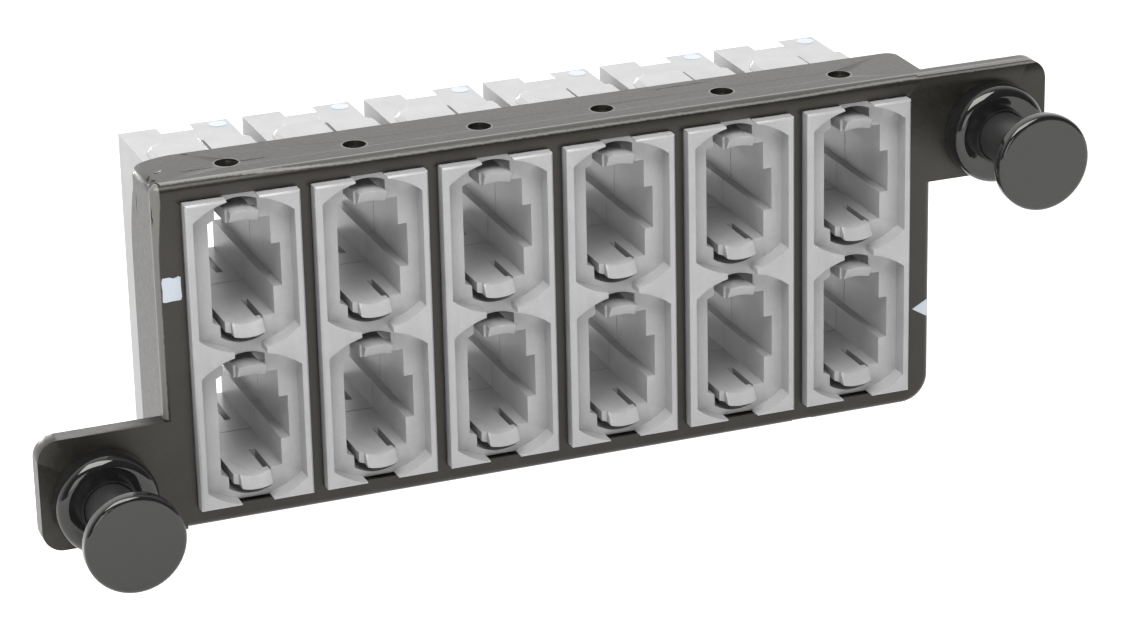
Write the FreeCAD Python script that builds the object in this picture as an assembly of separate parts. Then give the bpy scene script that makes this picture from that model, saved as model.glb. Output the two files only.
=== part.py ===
import FreeCAD, Part
import math
import os

# Fibre adapter panel: a folded sheet plate, six dual multi-fibre adapters and two push-pull fasteners.
# X runs along the panel, Y into the panel, Z up. The origin is the middle of the panel, on the plane of
# the ears' rear faces, which is where the panel seats on its housing. Millimetres.

# Ports: two to an adapter, each a round mouth with straight sides round a keyed channel
port_web = 0.2
recess_depth = 1.5
recess_width = 8.4
recess_radius = 6.5
mouth_slot_width = 2.7
channel_left = 2.6
channel_right = 2.55
channel_height = 8.4
key_depth = 0.75
key_height = 3.66

# Latch arms, which flex in a pocket above and below each channel
pocket_left = 2.0
pocket_right = 1.55
pocket_lip = 0.35
pocket_roof_radius = 3.6
pocket_chamfer = 0.3
front_pocket_length = 4.3
rear_pocket_length = 6.0
upper_arm_left = 1.2
lower_arm_left = 1.65
arm_right = 0.97
arm_thickness = 1.18
arm_outer_radius = 4.0
upper_tip_left = 1.0
lower_tip_left = 1.2
tip_right = 1.38
tip_front_inset = 0.3
tip_left_length = 1.0
tip_right_length = 1.45
tip_lead_slope = 0.625
tip_lead_gap = 0.1
tip_arch_length = 1.2
tip_arch_rise = 0.41

# Adapters, measured from the front of the nose
adapter_count = 6
adapter_length = 19.95
nose_wall = 0.55
nose_proud = 1.0
nose_bevel = 0.15
cutout_clearance = 0.12
cutout_corner_radius = 0.3
body_inset = 0.15
body_side_inset = 0.085
body_spacing = 0.57
seam_gap = 0.08
seat_gap = 0.05

# Stop rib on the right of each body, snap pads and nubs above and below
rib_width = 0.8
rib_length = 13.0
rib_corner_radius = 0.7
rib_edge_radius = 0.5
pad_left = 3.95
pad_right = 1.05
pad_length = 5.4
pad_height = 0.45
pad_left_radius = 1.9
pad_right_radius = 0.4
pad_flank_bevel = 0.4
slit_width = 0.3
slit_depth = 0.3
nub_clearance = 0.1
nub_root = 0.9
nub_rise = 0.9
nub_round = 0.3

# Sheet plate, folded round the row of adapters
sheet = 1.6
flange_clearance = 0.2
flange_side_clearance = 0.085
ear_reach = 10.6
ear_height = 9.55
ear_corner_radius = 1.8
face_corner_inner_radius = 0.8
flange_depth = 6.9
bend_outer_radius = 0.65
bend_inner_radius = 0.1
flange_tail = 5.0
flange_end_setback = 0.4
flange_end_radius = 1.0
latch_hole_diameter = 1.9
latch_hole_depth = 3.2
ear_overlap = 1.4
top_corner_radius = 6.0
top_corner_start = 4.0
side_corner_radius = 12.9
folded_corner_radius = 0.7
nick_left = 21.1
nick_width = 1.9
nick_depth = 0.2
nick_back = 1.1

# Push-pull fasteners
fastener_inset = 5.15
fastener_drop = 0.82
head_diameter = 8.3
head_thickness = 1.4
head_edge_radius = 0.45
head_flare_radius = 0.5
neck_diameter = 4.26
neck_engagement = 1.2
pin_diameter = 2.8
shaft_clearance = 0.05
pull_gap = 6.3
stop_gap = 0.3
tip_step = 0.4
tip_body_length = 1.9
tip_round = 0.9
tip_gap = 0.1
barrel_wall = 0.62
shoulder_step = 0.45
shoulder_proud = 0.1
shoulder_hole_clearance = 0.06
barrel_straight = 3.0
barrel_taper = 0.45
barrel_length = 6.7
leg_slit_width = 0.6
ring_ledge = 1.45
ring_thickness = 2.3
ring_edge_radius = 0.9

# Worked out from the sizes above
port_pitch = 2 * recess_radius + port_web
nose_width = recess_width + 2 * nose_wall
nose_height = port_pitch + 2 * recess_radius
body_width = nose_width - 2 * body_side_inset
body_height = nose_height - 2 * body_inset
adapter_pitch = body_width + rib_width + body_spacing
pocket_roof = recess_radius - pocket_lip
first_centre = -(adapter_count - 1) / 2.0 * adapter_pitch
adapter_centres = [first_centre + index * adapter_pitch for index in range(adapter_count)]
half_face = adapter_centres[-1] + body_width / 2.0 + rib_width + flange_side_clearance + sheet
half_height = body_height / 2.0 + flange_clearance + sheet
face_corner_radius = face_corner_inner_radius + sheet
barrel_diameter = neck_diameter + 2 * (shaft_clearance + barrel_wall)
barrel_end_diameter = barrel_diameter - 2 * barrel_taper
shoulder_diameter = barrel_diameter + 2 * shoulder_step
barrel_straight_end = shoulder_proud + barrel_straight
ring_diameter = barrel_diameter + 2 * ring_ledge
tip_diameter = pin_diameter + 2 * tip_step
plate_front = -sheet
nose_front = plate_front - nose_proud
flange_rear = plate_front + flange_depth
seam_plane = nose_front + adapter_length / 2.0
adapter_rear = nose_front + adapter_length
port_heights = [-port_pitch / 2.0, port_pitch / 2.0]
latch_hole_y = plate_front + latch_hole_depth
cutter_margin = 1.0
fastener_travel = pull_gap - stop_gap


def vector(x, y, z):
    return FreeCAD.Vector(x, y, z)


def block(x_low, x_high, y_low, y_high, z_low, z_high):
    """A box between two corners."""
    corner = vector(x_low, y_low, z_low)
    return Part.makeBox(x_high - x_low, y_high - y_low, z_high - z_low, corner)


def rod(radius, y_low, y_high, x=0.0, z=0.0):
    """A cylinder along Y."""
    return Part.makeCylinder(radius, y_high - y_low, vector(x, y_low, z), vector(0, 1, 0))


def cone(radius_low, radius_high, y_low, y_high, x=0.0, z=0.0):
    """A cone frustum along Y."""
    return Part.makeCone(radius_low, radius_high, y_high - y_low, vector(x, y_low, z), vector(0, 1, 0))


def prism_y(points, y_low, y_high):
    """A polygon of (x, z) points carried along Y."""
    corners = [vector(x, y_low, z) for x, z in points]
    wire = Part.makePolygon(corners + [corners[0]])
    return Part.Face(wire).extrude(vector(0, y_high - y_low, 0))


def prism_x(points, x_low, x_high):
    """A polygon of (y, z) points carried along X."""
    corners = [vector(x_low, y, z) for y, z in points]
    wire = Part.makePolygon(corners + [corners[0]])
    return Part.Face(wire).extrude(vector(x_high - x_low, 0, 0))


def edges_where(shape, test):
    """The edges whose two ends both pass the test."""
    return [edge for edge in shape.Edges if all(test(corner.Point) for corner in edge.Vertexes)]


def near(value, target):
    return abs(value - target) < 1e-4


def upright_edges(shape, corners):
    """The edges along Y that stand at the given (x, z) corners."""
    found = []
    for x, z in corners:
        found += edges_where(shape, lambda p: near(p.x, x) and near(p.z, z))
    return found


def half_turn(shape):
    """The shape turned by half a turn about the panel's middle, along Y."""
    copy = shape.copy()
    copy.rotate(vector(0, 0, 0), vector(0, 1, 0), 180)
    return copy


def above_and_below(shape):
    """The shape and its mirror image below the level of Z = 0."""
    return [shape, shape.mirror(vector(0, 0, 0), vector(0, 0, 1))]


def tray():
    """The face and its flanges, before the ears and the openings."""
    outer = block(-half_face, half_face, plate_front, flange_rear, -half_height, half_height)
    outer = outer.makeFillet(face_corner_radius, upright_edges(outer, [(half_face, -half_height)]))
    outer = outer.makeFillet(folded_corner_radius, upright_edges(outer, [(-half_face, half_height)]))
    outer = outer.makeFillet(bend_outer_radius, edges_where(outer, lambda p: near(p.y, plate_front)))
    inner_x = half_face - sheet
    inner_z = half_height - sheet
    hollow = block(-inner_x, inner_x, 0, flange_rear + cutter_margin, -inner_z, inner_z)
    hollow = hollow.makeFillet(face_corner_inner_radius, upright_edges(hollow, [(inner_x, -inner_z)]))
    hollow = hollow.makeFillet(bend_inner_radius, edges_where(hollow, lambda p: near(p.y, 0)))
    return outer.cut(hollow)


def flange_end_cutter():
    """What is cleared behind the right ear, where the two flanges stop short of each other."""
    tail_end = half_height - ear_height + flange_tail
    side = block(half_face - sheet - cutter_margin, half_face + cutter_margin, 0,
                 flange_rear + cutter_margin, tail_end, half_height - sheet)
    end_x = half_face - flange_end_setback
    end = block(end_x, half_face + cutter_margin, 0, flange_rear + cutter_margin,
                half_height - sheet - cutter_margin, half_height + cutter_margin)
    corner = block(end_x - flange_end_radius, end_x + cutter_margin, flange_rear - flange_end_radius,
                   flange_rear + cutter_margin, half_height - sheet - cutter_margin,
                   half_height + cutter_margin)
    rounding = Part.makeCylinder(flange_end_radius, sheet + 2 * cutter_margin,
                                 vector(end_x - flange_end_radius, flange_rear - flange_end_radius,
                                        half_height - sheet - cutter_margin))
    return side.fuse([end, corner.cut(rounding)])


def folded_corner_cutter():
    """What is rounded off the two flanges where they meet at the upper left."""
    top_x = -half_face + top_corner_start
    top_y = flange_rear - top_corner_radius
    top = block(-half_face - cutter_margin, top_x, top_y, flange_rear + cutter_margin,
                half_height - sheet, half_height + cutter_margin)
    top_round = Part.makeCylinder(top_corner_radius, sheet + 3 * cutter_margin,
                                  vector(top_x, top_y, half_height - sheet - cutter_margin))
    fold = half_height - sheet
    fold_y = top_y + math.sqrt(top_corner_radius ** 2 - top_corner_start ** 2)
    side_y = flange_rear - side_corner_radius
    side_z = fold - math.sqrt(side_corner_radius ** 2 - (fold_y - side_y) ** 2)
    side = block(-half_face - cutter_margin, -half_face + sheet, side_y, flange_rear + cutter_margin,
                 side_z, fold)
    side_round = Part.makeCylinder(side_corner_radius, sheet + 3 * cutter_margin,
                                   vector(-half_face - 2 * cutter_margin, side_y, side_z), vector(1, 0, 0))
    return [top.cut(top_round), side.cut(side_round)]


def edge_nick():
    """The shallow nick in the lower edge."""
    return block(nick_left, nick_left + nick_width, plate_front - cutter_margin, plate_front + nick_back,
                 -half_height - cutter_margin, -half_height + nick_depth)


def right_ear():
    """The ear at the upper right, flush with the face."""
    outer_x = half_face + ear_reach
    bottom = half_height - ear_height
    ear = block(half_face - ear_overlap, outer_x, plate_front, 0, bottom, half_height)
    corners = upright_edges(ear, [(outer_x, bottom), (outer_x, half_height)])
    return ear.makeFillet(ear_corner_radius, corners)


def fastener_place(side):
    """The X and Z of a fastener's axis: side is 1 on the right ear and -1 on the left."""
    x = side * (half_face + ear_reach - fastener_inset)
    z = side * (half_height - ear_height / 2.0) - fastener_drop
    return x, z


def cutout(x):
    """One window for an adapter's nose."""
    half_x = nose_width / 2.0 + cutout_clearance
    half_z = nose_height / 2.0 + cutout_clearance
    window = block(x - half_x, x + half_x, plate_front - cutter_margin, cutter_margin, -half_z, half_z)
    corners = [(x + sx * half_x, sz * half_z) for sx in (-1, 1) for sz in (-1, 1)]
    return window.makeFillet(cutout_corner_radius, upright_edges(window, corners))


def panel_plate():
    """The folded plate with its ears, windows, latch holes and fastener holes."""
    ears = [right_ear(), half_turn(right_ear())]
    ends = [flange_end_cutter(), half_turn(flange_end_cutter())]
    plate = tray().cut(ends + folded_corner_cutter() + [edge_nick()]).fuse(ears)
    cutters = [cutout(x) for x in adapter_centres]
    for x in adapter_centres:
        hole = Part.makeCylinder(latch_hole_diameter / 2.0, 2 * (half_height + cutter_margin),
                                 vector(x, latch_hole_y, -half_height - cutter_margin))
        cutters.append(hole)
    hole_radius = shoulder_diameter / 2.0 + shoulder_hole_clearance
    for side in (-1, 1):
        x, z = fastener_place(side)
        cutters.append(rod(hole_radius, plate_front - cutter_margin, cutter_margin, x, z))
    return plate.cut(cutters).removeSplitter()


def port_recess(z):
    """The shallow mouth round one port, a circle with its sides cut straight."""
    mouth_end = nose_front + recess_depth
    disc = rod(recess_radius, nose_front - cutter_margin, mouth_end, 0, z)
    sides = block(-recess_width / 2.0, recess_width / 2.0, nose_front - cutter_margin, mouth_end,
                  z - recess_radius, z + recess_radius)
    return disc.common(sides)


def mouth_slot():
    """The slot through the top wall, between the ports and through the bottom wall."""
    half = mouth_slot_width / 2.0
    reach = nose_height / 2.0 + cutter_margin
    inner = port_pitch / 2.0
    middle = block(-half, half, nose_front - cutter_margin, nose_front + recess_depth, -inner, inner)
    ends = []
    for side in (-1, 1):
        low, high = sorted([side * inner, side * reach])
        ends.append(block(-half, half, nose_front - cutter_margin, nose_front + recess_depth, low, high))
    return middle.fuse(ends)


def port_channel(z, y_low, y_high):
    """The straight channel of one port with its keyway on the right."""
    half = channel_height / 2.0
    main = block(-channel_left, channel_right, y_low, y_high, z - half, z + half)
    key = block(0, channel_right + key_depth, y_low, y_high, z - key_height / 2.0, z + key_height / 2.0)
    return main.fuse(key)


def latch_pocket(length):
    """The pocket above a channel's centre, in which one latch arm flexes."""
    mouth_end = nose_front + recess_depth
    half = channel_height / 2.0
    roof = rod(pocket_roof_radius, mouth_end - cutter_margin, mouth_end + length, 0,
               pocket_roof - pocket_roof_radius)
    band = block(-pocket_left, pocket_right, mouth_end - cutter_margin, mouth_end + length,
                 half - cutter_margin, pocket_roof)
    left_chamfer = prism_y([(-channel_left, half), (-pocket_left + pocket_chamfer, half),
                            (-pocket_left, half + pocket_chamfer)],
                           mouth_end - cutter_margin, mouth_end + length)
    return roof.common(band).fuse(left_chamfer)


def latch_arm(length, arm_left, tip_left):
    """One latch arm above a channel's centre: a neck, and a tip that is set to the right of it."""
    half = channel_height / 2.0
    top = half + arm_thickness
    foot = half - cutter_margin
    root = nose_front + recess_depth + length
    tip_front = nose_front + tip_front_inset
    neck = block(-arm_left, arm_right, tip_front + tip_left_length, root + seat_gap, half, top)
    tip = block(-tip_left, tip_right, tip_front, tip_front + tip_right_length, half, top)
    back = rod(arm_outer_radius, tip_front - cutter_margin, root + cutter_margin, 0, top - arm_outer_radius)
    lead_top = top - tip_lead_gap
    lead = prism_x([(tip_front - cutter_margin, foot),
                    (tip_front + tip_lead_slope * (lead_top - foot), foot),
                    (tip_front, lead_top), (tip_front - cutter_margin, lead_top)],
                   -tip_left - cutter_margin, tip_right + cutter_margin)
    arch = cone(half + tip_arch_rise, half, tip_front, tip_front + tip_arch_length)
    return neck.fuse(tip).common(back).cut([lead, arch])


def port_details(length):
    """Everything that is cut from a shell round its two ports, and the latch arms that are left."""
    cutters = [mouth_slot()]
    arms = []
    for z in port_heights:
        cutters.append(port_recess(z))
        for pocket in above_and_below(latch_pocket(length)):
            pocket.translate(vector(0, 0, z))
            cutters.append(pocket)
        upper = latch_arm(length, upper_arm_left, upper_tip_left)
        lower = latch_arm(length, lower_arm_left, lower_tip_left)
        for arm in (upper, above_and_below(lower)[1]):
            arm.translate(vector(0, 0, z))
            arms.append(arm)
    return cutters, arms


def stop_rib(y_low, y_high, round_rear):
    """The rib down the right of a body that stops against the plate, with its long edges rounded."""
    inner = body_width / 2.0 - cutter_margin
    outer = body_width / 2.0 + rib_width
    top = body_height / 2.0
    rib = block(inner, outer, y_low, y_high, -top, top)
    if round_rear:
        corner = edges_where(rib, lambda p: near(p.x, outer) and near(p.y, y_high))
        rib = rib.makeFillet(rib_corner_radius, corner)
    long_edges = edges_where(rib, lambda p: near(p.x, outer) and near(abs(p.z), top))
    long_edges = [edge for edge in long_edges if near(edge.BoundBox.ZLength, 0)]
    return rib.makeFillet(rib_edge_radius, long_edges)


def snap_pad():
    """The raised pad on top of a rear shell, with a rounded left end."""
    start = seam_plane + seam_gap
    top = body_height / 2.0 + pad_height
    pad = block(-pad_left, pad_right, start, start + pad_length, body_height / 2.0 - pad_height, top)
    rear = start + pad_length
    left = edges_where(pad, lambda p: near(p.x, -pad_left) and near(p.y, rear))
    pad = pad.makeFillet(pad_left_radius, left)
    right = edges_where(pad, lambda p: near(p.x, pad_right) and near(p.y, rear))
    pad = pad.makeFillet(pad_right_radius, right)
    flank = edges_where(pad, lambda p: near(p.z, top) and p.x < 0)
    return pad.makeChamfer(pad_flank_bevel, flank)


def pad_slit():
    """The fine slit beside the pad."""
    start = seam_plane + seam_gap
    top = body_height / 2.0
    return block(pad_right, pad_right + slit_width, start - cutter_margin, start + pad_length,
                 top - slit_depth, top + cutter_margin)


def latch_nub():
    """The nub that snaps into the flange's hole."""
    radius = latch_hole_diameter / 2.0 - nub_clearance
    base = body_height / 2.0 - nub_root
    top = body_height / 2.0 + nub_rise
    nub = Part.makeCylinder(radius, top - base, vector(0, latch_hole_y, base))
    return nub.makeFillet(nub_round, edges_where(nub, lambda p: near(p.z, top)))


def front_shell():
    """The front half of a dual adapter, centred on X = 0."""
    half_x = nose_width / 2.0
    half_z = nose_height / 2.0
    nose = block(-half_x, half_x, nose_front, 0, -half_z, half_z)
    nose = nose.makeChamfer(nose_bevel, edges_where(nose, lambda p: near(p.y, nose_front)))
    body = block(-body_width / 2.0, body_width / 2.0, -cutter_margin, seam_plane, -body_height / 2.0,
                 body_height / 2.0)
    shell = nose.fuse([body, stop_rib(seat_gap, seam_plane, False)] + above_and_below(latch_nub()))
    cutters, arms = port_details(front_pocket_length)
    for z in port_heights:
        cutters.append(port_channel(z, nose_front, seam_plane + cutter_margin))
    return shell.cut(cutters).fuse(arms).removeSplitter()


def rear_shell():
    """The rear half of a dual adapter, centred on X = 0."""
    start = seam_plane + seam_gap
    body = block(-body_width / 2.0, body_width / 2.0, start, adapter_rear, -body_height / 2.0,
                 body_height / 2.0)
    shell = body.fuse([stop_rib(start, rib_length, True)] + above_and_below(snap_pad()))
    cutters, arms = port_details(rear_pocket_length)
    mirror_plane = vector(0, seam_plane, 0)
    cutters = [cutter.mirror(mirror_plane, vector(0, 1, 0)) for cutter in cutters]
    arms = [arm.mirror(mirror_plane, vector(0, 1, 0)) for arm in arms]
    for z in port_heights:
        cutters.append(port_channel(z, start - cutter_margin, adapter_rear + cutter_margin))
    cutters += above_and_below(pad_slit())
    return shell.cut(cutters).fuse(arms).removeSplitter()


def grommet():
    """A fastener's grommet on its own axis: a ring in front of the ear and a split barrel through it."""
    ring_front = plate_front - ring_thickness
    ring = rod(ring_diameter / 2.0, ring_front, plate_front)
    ring = ring.makeFillet(ring_edge_radius, edges_where(ring, lambda p: near(p.y, ring_front)))
    shoulder = rod(shoulder_diameter / 2.0, plate_front, shoulder_proud)
    straight = rod(barrel_diameter / 2.0, plate_front, barrel_straight_end)
    taper = cone(barrel_diameter / 2.0, barrel_end_diameter / 2.0, barrel_straight_end, barrel_length)
    neck_bore_end = ring_front + neck_engagement + fastener_travel + stop_gap
    neck_bore = rod(neck_diameter / 2.0 + shaft_clearance, ring_front - cutter_margin, neck_bore_end)
    pin_bore = rod(pin_diameter / 2.0 + shaft_clearance, ring_front, barrel_length + cutter_margin)
    reach = barrel_diameter
    slits = [block(-reach, reach, barrel_straight_end, barrel_length + cutter_margin,
                   -leg_slit_width / 2.0, leg_slit_width / 2.0),
             block(-leg_slit_width / 2.0, leg_slit_width / 2.0, barrel_straight_end,
                   barrel_length + cutter_margin, -reach, reach)]
    return ring.fuse([shoulder, straight, taper]).cut([neck_bore, pin_bore] + slits).removeSplitter()


def plunger():
    """A plunger on its own axis, pulled out: head, neck, pin and a rounded tip behind the barrel."""
    ring_front = plate_front - ring_thickness
    head_rear = ring_front - pull_gap
    head_front = head_rear - head_thickness
    head = rod(head_diameter / 2.0, head_front, head_rear)
    head = head.makeFillet(head_edge_radius, edges_where(head, lambda p: True))
    neck_radius = neck_diameter / 2.0
    flare = cone(neck_radius + head_flare_radius, neck_radius, head_rear, head_rear + stop_gap - seat_gap)
    neck = rod(neck_radius, head_rear - cutter_margin, ring_front + neck_engagement)
    tip_start = barrel_length + tip_gap
    pin = rod(pin_diameter / 2.0, ring_front, tip_start + tip_body_length / 2.0)
    tip = rod(tip_diameter / 2.0, tip_start, tip_start + tip_body_length)
    tip_end = tip_start + tip_body_length
    tip = tip.makeFillet(tip_round, edges_where(tip, lambda p: near(p.y, tip_end)))
    return head.fuse([flare, neck, pin, tip]).removeSplitter()


def moved(shape, x, z):
    copy = shape.copy()
    copy.translate(vector(x, 0, z))
    return copy


def all_nodes():
    """Every node by name."""
    nodes = {"panel_plate": panel_plate()}
    front = front_shell()
    rear = rear_shell()
    for index, x in enumerate(adapter_centres):
        nodes[f"adapter_{index + 1}_front_shell"] = moved(front, x, 0)
        nodes[f"adapter_{index + 1}_rear_shell"] = moved(rear, x, 0)
    for name, side in (("left", -1), ("right", 1)):
        x, z = fastener_place(side)
        nodes[f"{name}_grommet"] = moved(grommet(), x, z)
        nodes[f"{name}_plunger"] = moved(plunger(), x, z)
    return nodes


def main():
    os.makedirs("parts", exist_ok=True)
    for name, shape in all_nodes().items():
        box = shape.BoundBox
        print(name, "solids", len(shape.Solids), "valid", shape.isValid(), "volume", round(shape.Volume, 1),
              "box", [round(v, 2) for v in (box.XMin, box.YMin, box.ZMin, box.XMax, box.YMax, box.ZMax)])
        shape.exportStep(os.path.join("parts", f"{name}.step"))


main()
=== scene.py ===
import math

import bmesh
import bpy
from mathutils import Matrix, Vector


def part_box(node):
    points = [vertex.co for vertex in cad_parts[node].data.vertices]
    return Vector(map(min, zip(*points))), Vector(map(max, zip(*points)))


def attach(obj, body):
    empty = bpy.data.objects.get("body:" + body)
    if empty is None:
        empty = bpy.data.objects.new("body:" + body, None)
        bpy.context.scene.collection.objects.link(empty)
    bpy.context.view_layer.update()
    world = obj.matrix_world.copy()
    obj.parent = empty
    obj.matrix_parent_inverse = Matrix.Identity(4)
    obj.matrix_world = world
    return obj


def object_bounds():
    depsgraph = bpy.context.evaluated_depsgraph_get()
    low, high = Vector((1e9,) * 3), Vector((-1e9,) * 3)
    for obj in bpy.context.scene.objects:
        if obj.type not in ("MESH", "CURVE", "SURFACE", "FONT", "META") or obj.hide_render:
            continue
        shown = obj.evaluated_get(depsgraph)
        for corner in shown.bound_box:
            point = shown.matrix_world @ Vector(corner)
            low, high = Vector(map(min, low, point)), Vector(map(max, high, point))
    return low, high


# Lengths are in millimetres, angles in degrees and powers in watts
MM = 0.001

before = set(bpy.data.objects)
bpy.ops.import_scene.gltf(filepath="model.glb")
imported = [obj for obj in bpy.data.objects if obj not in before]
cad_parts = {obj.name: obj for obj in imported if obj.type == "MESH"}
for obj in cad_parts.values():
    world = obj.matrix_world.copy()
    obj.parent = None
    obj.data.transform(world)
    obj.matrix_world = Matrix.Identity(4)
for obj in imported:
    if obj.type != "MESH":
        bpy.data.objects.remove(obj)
cad_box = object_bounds()


def corners(node):
    """A node's lowest and highest corners at rest."""
    return [Vector(corner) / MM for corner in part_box(node)]


def middle(node):
    """The middle of a node's box."""
    low, high = corners(node)
    return (low + high) / 2


# Camera: where the photograph was taken from
CAMERA_PLACE = (-109.52, -290.51, 119.42)
CAMERA_TURN = (68.617, 1.212, -21.283)
CAMERA_LENS = 128.92
CAMERA_SENSOR = 36.0
CAMERA_CLIP = (10.0, 50000.0)

# Softboxes: place, aim, width and height, power
SOFTBOXES = {
    "top_box": ((-90, -140, 390), (0, 0, 0), (400, 290), 3.6),
    "side_box": ((-330, -560, 160), (0, 0, 0), (300, 300), 1.0),
    "rear_box": ((5, 200, -1), (5, 0, -1), (160, 26), 0.44),
}

# Surroundings: the strengths of the room round the camera and of the backdrop behind the panel, and the
# Y of a direction at which one ends and the other starts
ROOM = 0.1
BACKDROP = 1.5
ROOM_END = -0.35
BACKDROP_START = 0.45

# Floor: its depth below the panel, its half width, and its glow in front of the panel and behind it
FLOOR_GAP = 0.46
FLOOR_HALF = 3000.0
FLOOR_DARK = (0.29, 0.29, 0.29)
FLOOR_LIGHT = (0.31, 0.31, 0.31)
FLOOR_ROUGHNESS = 0.9
FLOOR_GLOW_FRONT = 1.4
FLOOR_GLOW_BACK = 0.75
FLOOR_GLOW_REACH = 60.0

# Plate and ears
PLATE_LOW, PLATE_HIGH = corners("panel_plate")
PLATE_FRONT = PLATE_LOW.y
HALF_HEIGHT = PLATE_HIGH.z
EAR_REACH = 10.6
EAR_HEIGHT = 9.55
HALF_FACE = PLATE_HIGH.x - EAR_REACH
LEFT_EAR_TOP = EAR_HEIGHT - HALF_HEIGHT

# Adapters
REAR_SHELLS = sorted(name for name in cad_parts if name.endswith("rear_shell"))
ADAPTER_PITCH = corners(REAR_SHELLS[1])[0].x - corners(REAR_SHELLS[0])[0].x
PAD_HEIGHT = 0.45

# Fasteners: the plungers' axes, which lie at two heights, a head's front and rear, and how far from an
# axis a neck's satin finish reaches
LEFT_AXIS = middle("left_plunger")
RIGHT_AXIS = middle("right_plunger")
HEAD_THICKNESS = 1.4
HEAD_FRONT = corners("left_plunger")[0].y
HEAD_REAR = HEAD_FRONT + HEAD_THICKNESS
NECK_REACH = 2.4

# Rounding of the edges
PLATE_EDGE = 0.18
PLATE_EDGE_STEPS = 3
SHELL_EDGE = 0.09
FASTENER_EDGE = 0.05
SHARP_ANGLE = 35.0
WELD_REACH = 0.0005

# Black powder coat
COAT_DARK = (0.008, 0.0072, 0.006)
COAT_LIGHT = (0.014, 0.0124, 0.0103)
COAT_ROUGHNESS = (0.28, 0.37)
COAT_IOR = 1.41
COAT_GLOSS_TINT = (1.0, 0.955, 0.89, 1.0)

# Bends at the top and left of the face, painted paler partly for the stretched coat and partly as painted
# reflection of their rounding, and the dish in the face below the top one. In BEND_TOP_RISES a row is a
# stretch along X and how far the top bend's lower edge rises at either end of it. BEND_LEFT_WIDENS is a
# stretch along Z and the left bend's growth in width.
BEND_TOP = HALF_HEIGHT - 0.45
BEND_TOP_SOFT = 0.02
BEND_TOP_RISES = ((-29.0, -17.0, 0.34, 0.0), (20.0, 30.0, 0.0, 0.13))
BEND_LEFT = 0.35 - HALF_FACE
BEND_LEFT_FOOT = LEFT_EAR_TOP + 0.15
BEND_LEFT_WIDENS = (8.5, 13.8, 0.0, 0.33)
BEND_REAR = PLATE_FRONT + 0.65
BEND_WANDER = 0.08
BEND_TOP_COAT_AND_REFLECTION = (0.040, 0.039, 0.037)
BEND_LEFT_COAT_AND_REFLECTION = (0.100, 0.098, 0.094)
DISH_HEIGHT = 1.0
DISH_DEPTH = 0.12

# Painted highlight lines along the bends, for the light caught by their rounding: start and end from the
# bend's edge, and softness. The outer ones show only within a thin skin of the panel's top and left sides.
OUTER_HIGHLIGHT_LINE = (-0.04, 0.1, 0.05)
OUTER_SKIN = 0.15
INNER_HIGHLIGHT_LINE = (0.04, 0.2, 0.04)
PAINTED_HIGHLIGHT_COLOUR = (0.125, 0.123, 0.118)

# Painted highlights on the rims of the latch holes, for the light their rounded edges catch: the holes'
# place along Y, a rim's inner and outer radius and softness, how deep it goes into the hole, and how
# strong it is
HOLE_BACK = 1.6
HOLE_RIM = (1.0, 1.09, 0.03)
HOLE_RIM_DEPTH = 0.25
HOLE_RIM_STRENGTH = 0.7

# Marks on the coat: middle, half sizes, turn about Z
DARK_MARKS = (((-33.48, 0.55, 14.75), (0.55, 0.12, 0.3), 62),
              ((-32.48, 1.53, 14.75), (0.35, 0.09, 0.3), 38),
              ((-33.25, -0.22, 14.75), (0.2, 0.2, 0.3), 0),
              ((-33.2, -1.0, 14.72), (0.1, 0.5, 0.2), 12),
              ((-29.3, 4.86, 14.75), (0.35, 0.12, 0.3), 0),
              ((-29.35, 0.9, 14.75), (1.5, 0.07, 0.3), 0),
              ((-24.7, 1.5, 14.75), (1.5, 0.07, 0.3), 0),
              ((13.4, 4.4, 14.75), (3.0, 0.06, 0.3), 1.5),
              ((-33.9, 3.05, 11.8), (0.3, 0.08, 0.9), 0),
              ((-33.9, -1.2, 12.1), (0.4, 0.08, 0.85), 0))
PALE_MARKS = (((-33.84, -0.33, 14.7), (0.25, 0.25, 0.25), 0),
              ((-32.3, 1.75, 14.75), (0.35, 0.1, 0.3), 38))
DARK_MARK_COLOUR = (0.003, 0.0025, 0.002)
DARK_MARK_ROUGHNESS = 0.5
PALE_MARK_COLOUR = (0.30, 0.30, 0.29)
MARK_SHAKE = 0.15

# Grey plastic of the adapters
GREY_DARK = (0.245, 0.244, 0.247)
GREY_LIGHT = (0.28, 0.279, 0.282)
GREY_ROUGHNESS = (0.3, 0.4)

# Black plastic of the fasteners: what necks and heads' faces add to its roughness comes last
BLACK_DARK = (0.006, 0.006, 0.0063)
BLACK_LIGHT = (0.013, 0.013, 0.0133)
NECK_COLOUR = (0.016, 0.016, 0.016)
BLACK_GLOSS_TINT = (1.0, 1.0, 0.955, 1.0)
BLACK_ROUGHNESS = (0.04, 0.07)
NECK_ROUGHNESS = 0.28
FACE_ROUGHNESS = 0.12

# White ink, and how far it stands proud
INK_WORN = (0.2, 0.21, 0.23)
INK_FULL = (0.36, 0.39, 0.435)
INK_ROUGHNESS = 0.5
INK_PROUD = 0.02

# Printed marks on the face: outlines in X and Z
FACE_PRINTS = {
    "printed_square": ((-33.48, 5.05), (-33.3, 4.97), (-32.7, 5.02), (-31.97, 5.03), (-31.88, 5.3),
                       (-31.93, 6.2), (-31.9, 6.95), (-32.1, 7.06), (-32.5, 6.93), (-32.85, 7.05),
                       (-33.42, 7.03), (-33.5, 6.7), (-33.44, 5.9)),
    "printed_triangle": ((32.2, -6.1), (33.68, -6.98), (33.68, -5.32)),
}

# White dots on the adapters' upper sides: their places from an adapter's left side and rear end
DOT_RADIUS = 0.75
DOT_SIDES = 30
DOT_FROM_LEFT = 8.265
DOT_FROM_REAR = 1.0


def mm(*values):
    return Vector([value * MM for value in values])


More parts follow.
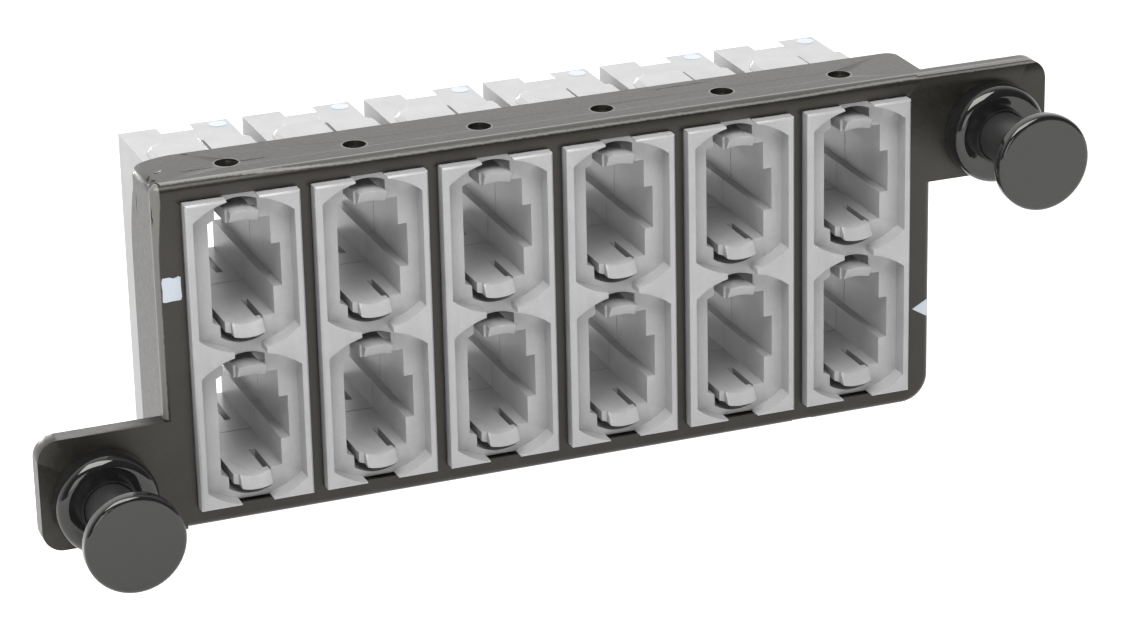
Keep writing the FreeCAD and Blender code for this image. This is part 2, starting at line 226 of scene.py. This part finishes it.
class Nodes:
    """A small helper round a node tree."""

    # Places of the colour sockets of a Mix node, where several sockets have the same name
    MIX_A = 6
    MIX_B = 7
    MIX_RESULT = 2

    def __init__(self, tree):
        self.tree = tree

    def add(self, kind):
        return self.tree.nodes.new("ShaderNode" + kind)

    def feed(self, socket, value):
        """Gives a socket a value, or links another node's output to it."""
        if isinstance(value, bpy.types.NodeSocket):
            self.tree.links.new(value, socket)
        else:
            socket.default_value = value

    def axes(self, vector):
        """The X, Y and Z of a vector."""
        node = self.add("SeparateXYZ")
        self.feed(node.inputs["Vector"], vector)
        return node.outputs

    def operate(self, kind, operation, values):
        node = self.add(kind)
        node.operation = operation
        for socket, value in zip(node.inputs, values):
            self.feed(socket, value)
        return node.outputs

    def math(self, operation, *values):
        return self.operate("Math", operation, values)["Value"]

    def vector_math(self, operation, *values):
        return self.operate("VectorMath", operation, values)

    def remap(self, value, low, high, to_low, to_high, smooth=False):
        """A value moved from one range to another, and kept inside it."""
        node = self.add("MapRange")
        node.interpolation_type = "SMOOTHSTEP" if smooth else "LINEAR"
        limits = {"From Min": low, "From Max": high, "To Min": to_low, "To Max": to_high}
        for name, number in limits.items():
            node.inputs[name].default_value = number
        self.feed(node.inputs["Value"], value)
        return node.outputs["Result"]

    def rise(self, value, edge, soft=0.05, smooth=True):
        """Zero below an edge and one above it, softened by that much on each side."""
        return self.remap(value, edge - soft, edge + soft, 0.0, 1.0, smooth)

    def fall(self, value, edge, soft=0.05, smooth=True):
        """One below an edge and zero above it, softened by that much on each side."""
        return self.remap(value, edge - soft, edge + soft, 1.0, 0.0, smooth)

    def band(self, value, low, high, soft):
        """One between two edges and zero outside them."""
        return self.math("MULTIPLY", self.rise(value, low, soft), self.fall(value, high, soft))

    def distance(self, a, b):
        """The distance from an axis, out of the distances along two directions."""
        squares = self.math("ADD", self.math("MULTIPLY", a, a), self.math("MULTIPLY", b, b))
        return self.math("SQRT", squares)

    def weigh(self, a, b, share):
        """That share of a and the rest of b."""
        return self.math("ADD", self.math("MULTIPLY", a, share), self.math("MULTIPLY", b, 1 - share))

    def mix(self, factor, a, b):
        """Colour a where the factor is zero, and colour b where it is one."""
        node = self.add("Mix")
        node.data_type = "RGBA"
        self.feed(node.inputs["Factor"], factor)
        for index, colour in ((self.MIX_A, a), (self.MIX_B, b)):
            self.feed(node.inputs[index], (*colour, 1.0) if isinstance(colour, tuple) else colour)
        return node.outputs[self.MIX_RESULT]


class Surface(Nodes):
    """A material whose texture follows the object's own coordinates."""

    def __init__(self, name):
        self.material = bpy.data.materials.new(name)
        self.material.use_nodes = True
        super().__init__(self.material.node_tree)
        self.shader = self.tree.nodes["Principled BSDF"]
        scaled = self.add("Mapping")
        scaled.inputs["Scale"].default_value = (1 / MM, 1 / MM, 1 / MM)
        self.feed(scaled.inputs["Vector"], self.add("TexCoord").outputs["Object"])
        self.place = scaled.outputs["Vector"]

    def set(self, **values):
        """Feeds the shader's sockets, whose names have underscores here for spaces."""
        for name, value in values.items():
            self.feed(self.shader.inputs[name.replace("_", " ")], value)

    def noise(self, scale, detail=2.0, rough=0.5, output="Fac"):
        node = self.add("TexNoise")
        node.inputs["Scale"].default_value = scale
        node.inputs["Detail"].default_value = detail
        node.inputs["Roughness"].default_value = rough
        self.feed(node.inputs["Vector"], self.place)
        return node.outputs[output]

    def spread(self, noise, to_low=0.0, to_high=1.0, half=0.2):
        """A noise spread over a range, from the middle of its own, where most of it lies."""
        return self.remap(noise, 0.5 - half, 0.5 + half, to_low, to_high)

    def wander(self, scale, reach):
        """A distance that wanders up and down."""
        centred = self.math("SUBTRACT", self.noise(scale, detail=3.0, rough=0.6), 0.5)
        return self.math("MULTIPLY", centred, 2 * reach)

    def bump(self, height, strength, distance, under=None):
        node = self.add("Bump")
        node.inputs["Strength"].default_value = strength
        node.inputs["Distance"].default_value = distance * MM
        self.feed(node.inputs["Height"], height)
        if under is not None:
            self.feed(node.inputs["Normal"], under)
        return node.outputs["Normal"]


def powder_coat():
    """Black satin powder coat: fine orange peel, bends painted paler (partly the stretched coat, partly
    painted reflection), painted highlights along the bends and on the hole rims, and a few marks.
    """
    n = Surface("black_powder_coat")
    patches = n.noise(0.35, detail=3.0, rough=0.6)
    grain = n.noise(3.2, detail=3.0, rough=0.65)
    colour = n.mix(n.spread(n.weigh(patches, grain, 0.5), half=0.15), COAT_DARK, COAT_LIGHT)
    over, beside, bend_highlight, level = bends(n)
    # The bends are painted paler, partly the stretched coat's own tone and partly painted reflection of
    # their rounding.
    colour = n.mix(over, colour, BEND_TOP_COAT_AND_REFLECTION)
    colour = n.mix(beside, colour, BEND_LEFT_COAT_AND_REFLECTION)
    # Painted highlights: lines along the bends and rims round the latch holes.
    colour = n.mix(n.math("MAXIMUM", bend_highlight, hole_rim_highlights(n)), colour, PAINTED_HIGHLIGHT_COLOUR)
    colour = n.mix(marks(n, PALE_MARKS), colour, PALE_MARK_COLOUR)
    dark = marks(n, DARK_MARKS)
    colour = n.mix(dark, colour, DARK_MARK_COLOUR)
    rough = n.math("ADD", n.spread(grain, *COAT_ROUGHNESS), n.math("MULTIPLY", dark, DARK_MARK_ROUGHNESS))
    dished = n.remap(level, BEND_TOP - DISH_HEIGHT, BEND_TOP, 0.0, 1.0)
    dish = n.math("MULTIPLY", n.math("MULTIPLY", dished, dished), -DISH_DEPTH)
    normal = n.bump(dish, strength=1.0, distance=1.0)
    normal = n.bump(n.noise(2.4), strength=0.22, distance=0.05, under=normal)
    normal = n.bump(n.noise(8.0, rough=0.6), strength=0.2, distance=0.02, under=normal)
    normal = n.bump(dark, strength=0.8, distance=-0.1, under=normal)
    n.set(Base_Color=colour, Roughness=rough, Normal=normal, IOR=COAT_IOR, Specular_Tint=COAT_GLOSS_TINT)
    return n.material


def bends(n):
    """The top and left bends, painted paler partly for the stretched coat and partly as painted
    reflection, the painted highlight lines along them, and the top bend's level.
    """
    x, y, z = n.axes(n.place)
    level = z
    for rises in BEND_TOP_RISES:
        level = n.math("SUBTRACT", level, n.remap(x, *rises, smooth=True))
    height = n.math("ADD", level, n.wander(3.0, BEND_WANDER))
    widening = n.remap(z, *BEND_LEFT_WIDENS, smooth=True)
    left = n.math("SUBTRACT", n.math("ADD", x, n.wander(1.4, BEND_WANDER)), widening)
    front = n.fall(y, BEND_REAR)
    above_ear = n.rise(z, BEND_LEFT_FOOT, smooth=False)
    over = n.rise(height, BEND_TOP, BEND_TOP_SOFT)
    beside = n.math("MULTIPLY", n.fall(left, BEND_LEFT), above_ear)
    left_side = n.math("MULTIPLY", n.fall(x, OUTER_SKIN - HALF_FACE, smooth=False), above_ear)
    top_side = n.rise(z, HALF_HEIGHT - OUTER_SKIN, smooth=False)
    # Painted highlight lines along the bends' edges.
    start, end, soft = OUTER_HIGHLIGHT_LINE
    outer = n.band(y, BEND_REAR + start, BEND_REAR + end, soft)
    outer = n.math("MULTIPLY", outer, n.math("MAXIMUM", top_side, left_side))
    start, end, soft = INNER_HIGHLIGHT_LINE
    inner = n.math("MULTIPLY", front, n.band(height, BEND_TOP + start, BEND_TOP + end, soft))
    bend_highlight = n.math("MAXIMUM", outer, inner)
    return n.math("MULTIPLY", front, over), n.math("MULTIPLY", front, beside), bend_highlight, level


def hole_rim_highlights(n):
    """Painted highlights on the rims of the latch holes in the top and bottom flanges, one above and below
    each adapter.
    """
    x, y, z = n.axes(n.place)
    across = n.math("SUBTRACT", n.math("WRAP", x, ADAPTER_PITCH, 0.0), ADAPTER_PITCH / 2)
    away = n.distance(across, n.math("SUBTRACT", y, HOLE_BACK))
    outside = n.rise(n.math("ABSOLUTE", z), HALF_HEIGHT - HOLE_RIM_DEPTH, smooth=False)
    return n.math("MULTIPLY", n.band(away, *HOLE_RIM), n.math("MULTIPLY", outside, HOLE_RIM_STRENGTH))


def marks(n, places):
    """One inside any of the ragged ellipsoids, and zero outside."""
    jitter = n.noise(2.2, output="Color")
    moved = n.vector_math("SUBTRACT", n.place, (MARK_SHAKE,) * 3)["Vector"]
    shaken = n.vector_math("MULTIPLY_ADD", jitter, (2 * MARK_SHAKE,) * 3, moved)["Vector"]
    found = None
    for place, half, turn in places:
        local = n.add("Mapping")
        local.vector_type = "TEXTURE"
        local.inputs["Location"].default_value = place
        local.inputs["Rotation"].default_value = (0.0, 0.0, math.radians(turn))
        local.inputs["Scale"].default_value = half
        n.feed(local.inputs["Vector"], shaken)
        length = n.vector_math("LENGTH", local.outputs["Vector"])["Value"]
        mask = n.fall(length, 0.9, 0.2)
        found = mask if found is None else n.math("MAXIMUM", found, mask)
    return found


def moulded_grey():
    """Light grey moulded plastic, matt, with faint mottling."""
    n = Surface("adapter_grey")
    cloud = n.noise(0.4, detail=3.0, rough=0.55)
    fine = n.noise(5.0, rough=0.6)
    n.set(Base_Color=n.mix(n.spread(n.weigh(cloud, fine, 0.6), half=0.15), GREY_DARK, GREY_LIGHT),
          Roughness=n.spread(fine, *GREY_ROUGHNESS),
          Normal=n.bump(n.noise(6.0, rough=0.55), strength=0.2, distance=0.015))
    return n.material


def glossy_black():
    """Black moulded plastic with a high gloss, satin on the plungers' necks and the heads' faces."""
    n = Surface("fastener_black")
    fine = n.noise(4.0)
    grain = n.noise(9.0, rough=0.7)
    x, y, z = n.axes(n.place)
    across = n.math("SUBTRACT", n.math("ABSOLUTE", x), RIGHT_AXIS.x)
    axis_level = n.remap(x, -1.0, 1.0, LEFT_AXIS.z, RIGHT_AXIS.z)
    above = n.math("SUBTRACT", z, axis_level)
    behind_head = n.rise(y, HEAD_REAR - 0.05, smooth=False)
    near_axis = n.fall(n.distance(across, above), NECK_REACH, 0.1, smooth=False)
    neck = n.math("MULTIPLY", near_axis, behind_head)
    face = n.fall(y, HEAD_FRONT + 0.05, 0.03, smooth=False)
    specks = n.math("MULTIPLY", face, n.spread(grain))
    shade = n.math("MAXIMUM", n.spread(fine, 0.0, 0.4), specks)
    colour = n.mix(neck, n.mix(shade, BLACK_DARK, BLACK_LIGHT), NECK_COLOUR)
    rough = n.math("ADD", n.spread(fine, *BLACK_ROUGHNESS), n.math("MULTIPLY", neck, NECK_ROUGHNESS))
    rough = n.math("ADD", rough, n.math("MULTIPLY", face, FACE_ROUGHNESS))
    normal = n.bump(fine, strength=0.04, distance=0.02)
    normal = n.bump(n.math("MULTIPLY", grain, face), strength=0.25, distance=0.012, under=normal)
    n.set(Base_Color=colour, Roughness=rough, Normal=normal, Specular_Tint=BLACK_GLOSS_TINT)
    return n.material


def white_ink():
    """Thick white ink with worn specks."""
    n = Surface("white_ink")
    specks = n.noise(4.5, detail=3.0, rough=0.6)
    n.set(Base_Color=n.mix(n.rise(specks, 0.67, 0.05), INK_FULL, INK_WORN),
          Roughness=INK_ROUGHNESS,
          Normal=n.bump(specks, strength=0.2, distance=0.01))
    return n.material


def soften(node, width, steps=2):
    """Rounds a node's sharp edges by a small bevel."""
    weld = node.modifiers.new("weld", "WELD")
    weld.merge_threshold = WELD_REACH * MM
    bevel = node.modifiers.new("edge", "BEVEL")
    bevel.width = width * MM
    bevel.segments = steps
    bevel.limit_method = "ANGLE"
    bevel.angle_limit = math.radians(SHARP_ANGLE)
    bevel.harden_normals = False
    bevel.use_clamp_overlap = True
    normals = node.modifiers.new("normals", "WEIGHTED_NORMAL")
    normals.keep_sharp = False
    normals.weight = 50


def paint(node, material):
    node.data.materials.clear()
    node.data.materials.append(material)


def show(name, data):
    """A new object in the scene, from its mesh, light or camera."""
    item = bpy.data.objects.new(name, data)
    bpy.context.scene.collection.objects.link(item)
    return item


def print_shape(name, points, material):
    """A thin printed shape on the panel, from its outline."""
    mesh = bpy.data.meshes.new(name)
    bm = bmesh.new()
    bm.faces.new([bm.verts.new(mm(*point)) for point in points])
    bmesh.ops.recalc_face_normals(bm, faces=bm.faces)
    bm.to_mesh(mesh)
    bm.free()
    mesh.materials.append(material)
    piece = show(name, mesh)
    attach(piece, "panel")


def dot_outline(shell):
    """The outline of the white dot on an adapter's upper side."""
    low, high = corners(shell)
    x = low.x + DOT_FROM_LEFT
    y = high.y - DOT_FROM_REAR
    z = high.z - PAD_HEIGHT + INK_PROUD
    turns = [2 * math.pi * side / DOT_SIDES for side in range(DOT_SIDES)]
    return [(x + DOT_RADIUS * math.cos(turn), y + DOT_RADIUS * math.sin(turn), z) for turn in turns]


def area_light(name, place, aim, size, power):
    light = bpy.data.lights.new(name, "AREA")
    light.shape = "RECTANGLE"
    light.size, light.size_y = (side * MM for side in size)
    light.energy = power
    lamp = show(name, light)
    lamp.location = mm(*place)
    lamp.rotation_euler = (mm(*aim) - mm(*place)).to_track_quat("-Z", "Y").to_euler()


def camera():
    data = bpy.data.cameras.new("camera")
    data.lens = CAMERA_LENS
    data.sensor_width = CAMERA_SENSOR
    data.clip_start, data.clip_end = (reach * MM for reach in CAMERA_CLIP)
    view = show("camera", data)
    view.location = mm(*CAMERA_PLACE)
    view.rotation_euler = [math.radians(turn) for turn in CAMERA_TURN]
    bpy.context.scene.camera = view


def floor():
    """A pale glowing floor that is brighter in front of the panel than behind it."""
    level = cad_box[0].z / MM - FLOOR_GAP
    signs = ((-1, -1), (1, -1), (1, 1), (-1, 1))
    mesh = bpy.data.meshes.new("floor")
    mesh.from_pydata([mm(x * FLOOR_HALF, y * FLOOR_HALF, level) for x, y in signs], [], [(0, 1, 2, 3)])
    n = Surface("floor")
    glow = n.remap(n.axes(n.place)["Y"], -FLOOR_GLOW_REACH, FLOOR_GLOW_REACH,
                   FLOOR_GLOW_FRONT, FLOOR_GLOW_BACK, smooth=True)
    n.set(Base_Color=n.mix(n.noise(0.01, detail=1.0), FLOOR_DARK, FLOOR_LIGHT),
          Roughness=FLOOR_ROUGHNESS,
          Emission_Color=(1.0, 1.0, 1.0, 1.0),
          Emission_Strength=glow)
    mesh.materials.append(n.material)
    show("floor", mesh)


def studio():
    """A bright backdrop behind the panel and a dark room round the camera, with the softboxes in it."""
    world = bpy.data.worlds.new("studio")
    bpy.context.scene.world = world
    world.use_nodes = True
    n = Nodes(world.node_tree)
    background = n.tree.nodes["Background"]
    direction = n.axes(n.add("TexCoord").outputs["Generated"])
    n.feed(background.inputs["Color"], (1.0, 1.0, 1.0, 1.0))
    n.feed(background.inputs["Strength"],
           n.remap(direction["Y"], ROOM_END, BACKDROP_START, ROOM, BACKDROP, smooth=True))
    for name, (place, aim, size, power) in SOFTBOXES.items():
        area_light(name, place, aim, size, power)
    bpy.context.scene.view_settings.view_transform = "Standard"


coat, grey, black = powder_coat(), moulded_grey(), glossy_black()
for name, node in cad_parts.items():
    if name == "panel_plate":
        paint(node, coat)
        soften(node, PLATE_EDGE, PLATE_EDGE_STEPS)
    elif name.endswith("shell"):
        paint(node, grey)
        soften(node, SHELL_EDGE)
    else:
        paint(node, black)
        soften(node, FASTENER_EDGE)

white = white_ink()
for name, outline in FACE_PRINTS.items():
    print_shape(name, [(x, PLATE_FRONT - INK_PROUD, z) for x, z in outline], white)
for shell in REAR_SHELLS:
    print_shape(shell.replace("rear_shell", "dot"), dot_outline(shell), white)

camera()
floor()
studio()
